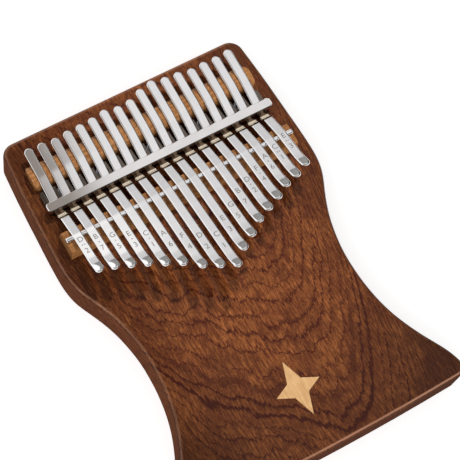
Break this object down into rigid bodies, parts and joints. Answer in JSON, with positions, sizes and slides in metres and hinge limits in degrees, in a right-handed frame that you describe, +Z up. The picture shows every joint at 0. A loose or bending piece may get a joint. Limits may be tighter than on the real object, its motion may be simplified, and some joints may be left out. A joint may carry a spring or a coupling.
{
  "type": "thumb piano",
  "caption": "Waisted solid-board thumb piano: a row of steel tines held by a clamping bar over a rear bridge and a rod bridge, each tine free to be plucked.",
  "frame": {"origin": "centre of the board's flat underside, on the mirror line between its two long sides", "axes": "+X across the tines towards the short right-hand end of the row, +Y from the player's end towards the tails of the tines, +Z up out of the playing face"},
  "size_m": [0.1348, 0.184, 0.0378],
  "materials": {
    "walnut": "figured brown hardwood, clear gloss lacquer",
    "bridge_wood": "light brown hardwood, satin lacquer",
    "inlay_maple": "pale hardwood, clear gloss lacquer",
    "tine_steel": "polished nickel-plated spring steel",
    "rod_steel": "polished plated steel rod",
    "bar_steel": "polished plated steel, bevelled edges",
    "plate_steel": "polished plated steel",
    "screw_steel": "plain steel, turned heads with hex sockets"
  },
  "bodies": {
    "body": {"sound_board": "walnut", "rear_bridge": "bridge_wood", "front_bridge": "bridge_wood", "bridge_rod": "rod_steel", "base_plate": "plate_steel", "pressure_bar": "bar_steel", "plate_screws": "screw_steel", "bar_screws": "screw_steel", "star_inlay": "inlay_maple", "tine_01_root": "tine_steel", "tine_02_root": "tine_steel", "tine_03_root": "tine_steel", "tine_04_root": "tine_steel", "tine_05_root": "tine_steel", "tine_06_root": "tine_steel", "tine_07_root": "tine_steel", "tine_08_root": "tine_steel", "tine_09_root": "tine_steel", "tine_10_root": "tine_steel", "tine_11_root": "tine_steel", "tine_12_root": "tine_steel", "tine_13_root": "tine_steel", "tine_14_root": "tine_steel", "tine_15_root": "tine_steel", "tine_16_root": "tine_steel", "tine_17_root": "tine_steel"},
    "tongue_01": {"tine_01_tongue": "tine_steel"},
    "tongue_02": {"tine_02_tongue": "tine_steel"},
    "tongue_03": {"tine_03_tongue": "tine_steel"},
    "tongue_04": {"tine_04_tongue": "tine_steel"},
    "tongue_05": {"tine_05_tongue": "tine_steel"},
    "tongue_06": {"tine_06_tongue": "tine_steel"},
    "tongue_07": {"tine_07_tongue": "tine_steel"},
    "tongue_08": {"tine_08_tongue": "tine_steel"},
    "tongue_09": {"tine_09_tongue": "tine_steel"},
    "tongue_10": {"tine_10_tongue": "tine_steel"},
    "tongue_11": {"tine_11_tongue": "tine_steel"},
    "tongue_12": {"tine_12_tongue": "tine_steel"},
    "tongue_13": {"tine_13_tongue": "tine_steel"},
    "tongue_14": {"tine_14_tongue": "tine_steel"},
    "tongue_15": {"tine_15_tongue": "tine_steel"},
    "tongue_16": {"tine_16_tongue": "tine_steel"},
    "tongue_17": {"tine_17_tongue": "tine_steel"}
  },
  "joints": [
    {"name": "tine_01_bend", "type": "hinge", "parent": "body", "child": "tongue_01", "pos_m": [-0.0512, 0.0345, 0.02668], "axis": [1, 0, 0], "range_deg": [-4.5, 6], "stiffness_Nm_per_rad": 0.05},
    {"name": "tine_02_bend", "type": "hinge", "parent": "body", "child": "tongue_02", "pos_m": [-0.0448, 0.0345, 0.02668], "axis": [1, 0, 0], "range_deg": [-4.5, 6], "stiffness_Nm_per_rad": 0.05},
    {"name": "tine_03_bend", "type": "hinge", "parent": "body", "child": "tongue_03", "pos_m": [-0.0384, 0.0345, 0.02668], "axis": [1, 0, 0], "range_deg": [-4, 5.3], "stiffness_Nm_per_rad": 0.05},
    {"name": "tine_04_bend", "type": "hinge", "parent": "body", "child": "tongue_04", "pos_m": [-0.032, 0.0345, 0.02668], "axis": [1, 0, 0], "range_deg": [-3.6, 4.8], "stiffness_Nm_per_rad": 0.05},
    {"name": "tine_05_bend", "type": "hinge", "parent": "body", "child": "tongue_05", "pos_m": [-0.0256, 0.0345, 0.02668], "axis": [1, 0, 0], "range_deg": [-3.2, 4.2], "stiffness_Nm_per_rad": 0.05},
    {"name": "tine_06_bend", "type": "hinge", "parent": "body", "child": "tongue_06", "pos_m": [-0.0192, 0.0345, 0.02668], "axis": [1, 0, 0], "range_deg": [-2.8, 3.8], "stiffness_Nm_per_rad": 0.05},
    {"name": "tine_07_bend", "type": "hinge", "parent": "body", "child": "tongue_07", "pos_m": [-0.0128, 0.0345, 0.02668], "axis": [1, 0, 0], "range_deg": [-2.5, 3.3], "stiffness_Nm_per_rad": 0.05},
    {"name": "tine_08_bend", "type": "hinge", "parent": "body", "child": "tongue_08", "pos_m": [-0.0064, 0.0345, 0.02668], "axis": [1, 0, 0], "range_deg": [-2.2, 3], "stiffness_Nm_per_rad": 0.05},
    {"name": "tine_09_bend", "type": "hinge", "parent": "body", "child": "tongue_09", "pos_m": [0, 0.0345, 0.02668], "axis": [1, 0, 0], "range_deg": [-2.1, 2.8], "stiffness_Nm_per_rad": 0.05},
    {"name": "tine_10_bend", "type": "hinge", "parent": "body", "child": "tongue_10", "pos_m": [0.0064, 0.0345, 0.02668], "axis": [1, 0, 0], "range_deg": [-2.4, 3.2], "stiffness_Nm_per_rad": 0.05},
    {"name": "tine_11_bend", "type": "hinge", "parent": "body", "child": "tongue_11", "pos_m": [0.0128, 0.0345, 0.02668], "axis": [1, 0, 0], "range_deg": [-2.7, 3.6], "stiffness_Nm_per_rad": 0.05},
    {"name": "tine_12_bend", "type": "hinge", "parent": "body", "child": "tongue_12", "pos_m": [0.0192, 0.0345, 0.02668], "axis": [1, 0, 0], "range_deg": [-3.1, 4.1], "stiffness_Nm_per_rad": 0.05},
    {"name": "tine_13_bend", "type": "hinge", "parent": "body", "child": "tongue_13", "pos_m": [0.0256, 0.0345, 0.02668], "axis": [1, 0, 0], "range_deg": [-3.4, 4.5], "stiffness_Nm_per_rad": 0.05},
    {"name": "tine_14_bend", "type": "hinge", "parent": "body", "child": "tongue_14", "pos_m": [0.032, 0.0345, 0.02668], "axis": [1, 0, 0], "range_deg": [-3.8, 5], "stiffness_Nm_per_rad": 0.05},
    {"name": "tine_15_bend", "type": "hinge", "parent": "body", "child": "tongue_15", "pos_m": [0.0384, 0.0345, 0.02668], "axis": [1, 0, 0], "range_deg": [-4.3, 5.8], "stiffness_Nm_per_rad": 0.05},
    {"name": "tine_16_bend", "type": "hinge", "parent": "body", "child": "tongue_16", "pos_m": [0.0448, 0.0345, 0.02668], "axis": [1, 0, 0], "range_deg": [-4.5, 6], "stiffness_Nm_per_rad": 0.05},
    {"name": "tine_17_bend", "type": "hinge", "parent": "body", "child": "tongue_17", "pos_m": [0.0512, 0.0345, 0.02668], "axis": [1, 0, 0], "range_deg": [-4.5, 6], "stiffness_Nm_per_rad": 0.05}
  ]
}
